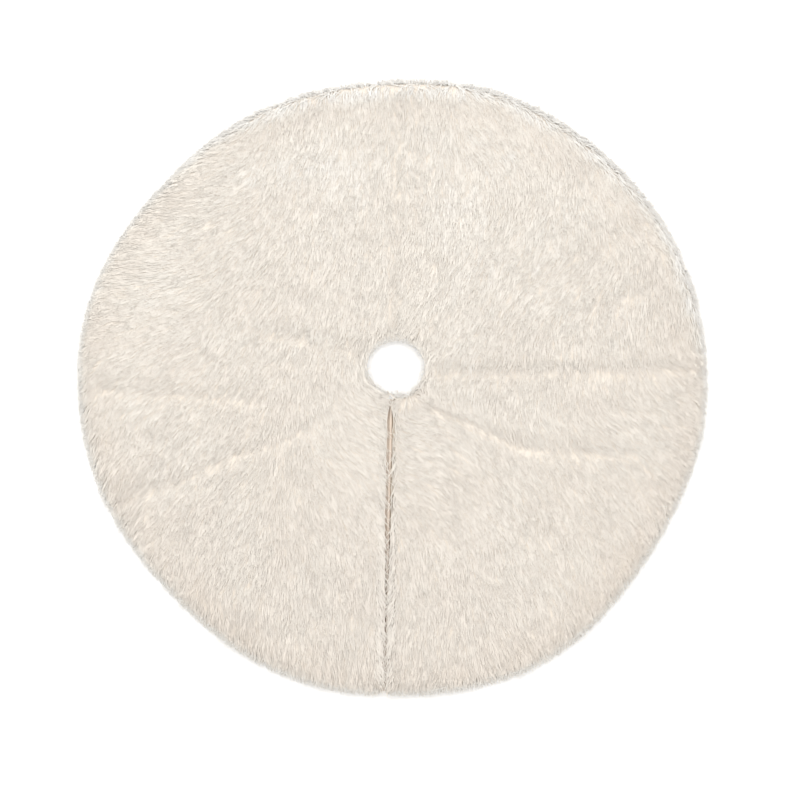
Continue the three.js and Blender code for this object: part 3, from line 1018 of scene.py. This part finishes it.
def makeFastenings():
    # three hook tabs on the left flap reach under the slit to loop patches on the right flap
    f = {name: value * mm for name, value in fastening.items()}
    hook = tubeShape([(x * mm, 0, z * mm) for x, z in hookLine], 0.13 * mm, 4)
    arch = [(0.55 * mm * math.cos(a), 0, 0.05 * mm - 0.42 * mm * math.sin(a))
            for a in np.linspace(0, math.pi, 6)]
    loop = tubeShape(arch, 0.10 * mm, 3)
    for number in (1, 2, 3):
        low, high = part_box(f"hook_tab_{number}")
        middle = (low.y + high.y) / 2
        y = np.linspace(middle - f["wide"] / 2, middle + f["wide"] / 2, 15)
        top = f["tabLow"] + f["tabThick"]
        section = [(x, top, 0, 1, f["tabThick"]) for x in np.linspace(low.x, high.x, 30)]
        tab = stripCloth(f"tab_web_{number}", "left", section, y, tapeFinish,
                         corner=4 * mm)
        x, yy = jitteredGrid(f["hooksFrom"], f["hooksTo"], middle - f["patchWide"] / 2,
                             middle + f["patchWide"] / 2, f["hookGap"], number)
        spots = np.stack([x, yy, np.full_like(x, top - 0.03 * mm)], -1)
        signs = np.where(np.arange(len(x)) % 2, 1.0, -1.0)
        ways = np.stack([signs, np.zeros(len(x)), np.zeros(len(x))], -1)
        points, faces = copyShape(*hook, (spots, ways))
        hooks = buildMesh(f"tab_hooks_{number}", lay(points), faces, hookFinish)
        fasten(hooks, "left")
        for piece in (tab, hooks):
            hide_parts(f"hook_tab_{number}")

        low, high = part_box(f"loop_patch_{number}")
        y = np.linspace(middle - f["patchWide"] / 2, middle + f["patchWide"] / 2, 13)
        top = f["patchLow"] + f["patchThick"]
        section = [(x, top, 0, 1, f["patchThick"]) for x in np.linspace(low.x, high.x, 14)]
        patch = stripCloth(f"loop_ground_{number}", "right", section, y, loopFinish,
                           corner=2 * mm)
        x, yy = jitteredGrid(low.x + 1 * mm, high.x - 1 * mm, y[0] + 1 * mm, y[-1] - 1 * mm,
                             f["loopGap"], 10 + number, 0.5)
        turn = np.random.default_rng(20 + number).uniform(0, 2 * math.pi, len(x))
        spots = np.stack([x, yy, np.full_like(x, f["patchLow"])], -1)
        ways = np.stack([np.cos(turn), np.sin(turn), np.zeros(len(x))], -1)
        points, faces = copyShape(*loop, (spots, ways))
        loops = buildMesh(f"loop_fuzz_{number}", lay(points), faces, loopFinish)
        fasten(loops, "right")
        for piece in (patch, loops):
            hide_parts(f"loop_patch_{number}")


label = {"low": 0.55 * mm, "thick": 0.25 * mm, "waves": 0.12 * mm}


def makeLabel():
    # a blank satin care label that lies on the lining
    low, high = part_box("care_label")
    y = np.linspace(low.y, high.y, 18)
    section = [(x, label["low"], 0, 1, label["thick"]) for x in np.linspace(low.x, high.x, 24)]

    def wavy(x, yy, z):
        return x, z + label["waves"] * softNoise(x, yy, 0.012, 99)

    satin = stripCloth("label_satin_blank", "back", section, y, labelFinish, wavy)
    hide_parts("care_label")


stitch = {
    "length": 3.4 * mm, "pitch": 4.3 * mm, "radius": 0.24 * mm,
    "facingRows": (4 * mm, 40 * mm),              # from the slit
    "facingLow": {"left": 1.48, "right": 2.68},   # mm, of the rows by the slit
}


def makeStitches():
    # rows of lock stitch along the tapes and facings, on the underside
    long = stitch["length"] / 2
    shape = tubeShape([(-long, 0, 0.1 * mm), (-0.7 * long, 0, 0), (0, 0, -0.05 * mm),
                       (0.7 * long, 0, 0), (long, 0, 0.1 * mm)], stitch["radius"])
    z = underside["tape"][0] * mm + 0.02 * mm
    wide = underside["tapeWide"] * mm
    rimIn = skirt["clothRadius"] - skirt["turn"] - wide + 2.5 * mm
    rimOut = skirt["clothRadius"] - 4 * mm
    holeIn, holeOut = skirt["holeRadius"] + 5 * mm, skirt["holeRadius"] + wide
    near, far = stitch["facingRows"]
    for zone in ("back", "left", "right"):
        spots, ways = [], []
        for r in (rimIn, rimOut, holeIn, holeOut):
            turns = np.arange(0, 2 * math.pi, stitch["pitch"] / r)
            x, y = r * np.cos(turns), r * np.sin(turns)
            clear = {"back": y > long, "left": (y < -long) & (x < skirt["leftEdge"] + 8 * mm),
                     "right": (y < -long) & (x > skirt["rightEdge"] + 3 * mm)}[zone]
            spots.append(np.stack([x, y, np.full_like(x, z)], -1)[clear])
            ways.append(np.stack([-np.sin(turns), np.cos(turns), np.zeros_like(x)], -1)[clear])
        if zone != "back":
            sign = -1 if zone == "left" else 1
            y = np.arange(-skirt["clothRadius"] + wide + 4 * mm, -holeOut - 4 * mm, stitch["pitch"])
            for off, low in ((near, stitch["facingLow"][zone]), (far, underside["lining"][0])):
                x = np.full_like(y, skirt["rightEdge"] + sign * off)
                spots.append(np.stack([x, y, np.full_like(y, low * mm)], -1))
                ways.append(np.tile([0, 1.0, 0], (len(y), 1)))
        points, faces = copyShape(*shape, (np.concatenate(spots), np.concatenate(ways)))
        thread = buildMesh(f"stitches_{zone}", lay(points), faces, threadFinish)
        fasten(thread, zone)


makeSlit()
makeFastenings()
makeLabel()
makeStitches()
print("slit, fastenings, label and stitches made")


def floorMaterial():
    # A painted studio floor, faintly lit from within so that shadows on it stay pale.
    material, tree = newMaterial("studioPaint")
    place = addNode(tree, "ShaderNodeTexCoord")
    slow = addNode(tree, "ShaderNodeTexNoise", {"Scale": 1.5, "Detail": 2.0},
                   {"Vector": place.outputs["Object"]})
    colour = setStops(addNode(tree, "ShaderNodeValToRGB", links={"Fac": slow.outputs["Fac"]}),
                      [(0.3, "#f7f6f5"), (0.7, "#f9f8f7")])
    finish = addNode(tree, "ShaderNodeBsdfPrincipled", {"Roughness": 0.9, "Specular IOR Level": 0.1,
                     "Emission Color": linear("#ffffff"), "Emission Strength": 0.35},
                     {"Base Color": colour.outputs["Color"]})
    addNode(tree, "ShaderNodeOutputMaterial", links={"Surface": finish.outputs["BSDF"]})
    return material


studio = {
    "floorHalf": 40, "sky": 0.86,
    "lamps": [((-1.1, 1.2, 2.8), 1.8, 43), ((2.8, 0.2, 3.0), 3.0, 36)],     # place, side, watts
    "target": (0.0092, -0.0627, 0.0),       # what the camera looks at
    "elevation": 79.25, "distance": 1.8385, "lens": 43.12,
}


def makeStudio():
    half = studio["floorHalf"]
    mesh = bpy.data.meshes.new("floor")
    corners = [(-half, -half, 0), (half, -half, 0), (half, half, 0), (-half, half, 0)]
    mesh.from_pydata(corners, [], [(0, 1, 2, 3)])
    mesh.materials.append(floorMaterial())
    floor = bpy.data.objects.new("floor", mesh)
    bpy.context.scene.collection.objects.link(floor)

    world = bpy.data.worlds.new("studioSky")
    bpy.context.scene.world = world
    world.use_nodes = True
    sky = world.node_tree.nodes["Background"]
    sky.inputs["Color"].default_value = linear("#ffffff")
    sky.inputs["Strength"].default_value = studio["sky"]
    for number, (place, side, power) in enumerate(studio["lamps"]):
        lamp = bpy.data.lights.new(f"softbox{number + 1}", "AREA")
        lamp.size = side
        lamp.energy = power
        softbox = bpy.data.objects.new(f"softbox{number + 1}", lamp)
        softbox.location = place
        softbox.rotation_euler = (-Vector(place)).to_track_quat("-Z", "Y").to_euler()
        bpy.context.scene.collection.objects.link(softbox)

    lens = bpy.data.cameras.new("camera")
    lens.lens = studio["lens"]
    lens.sensor_width = 36
    camera = bpy.data.objects.new("camera", lens)
    tilt = math.radians(studio["elevation"])
    back = Vector((0, -math.cos(tilt), math.sin(tilt)))
    camera.location = Vector(studio["target"]) + back * studio["distance"]
    camera.rotation_euler = (-back).to_track_quat("-Z", "Y").to_euler()
    bpy.context.scene.collection.objects.link(camera)
    bpy.context.scene.camera = camera
    bpy.context.scene.view_settings.view_transform = "Standard"


makeStudio()
print("studio set")
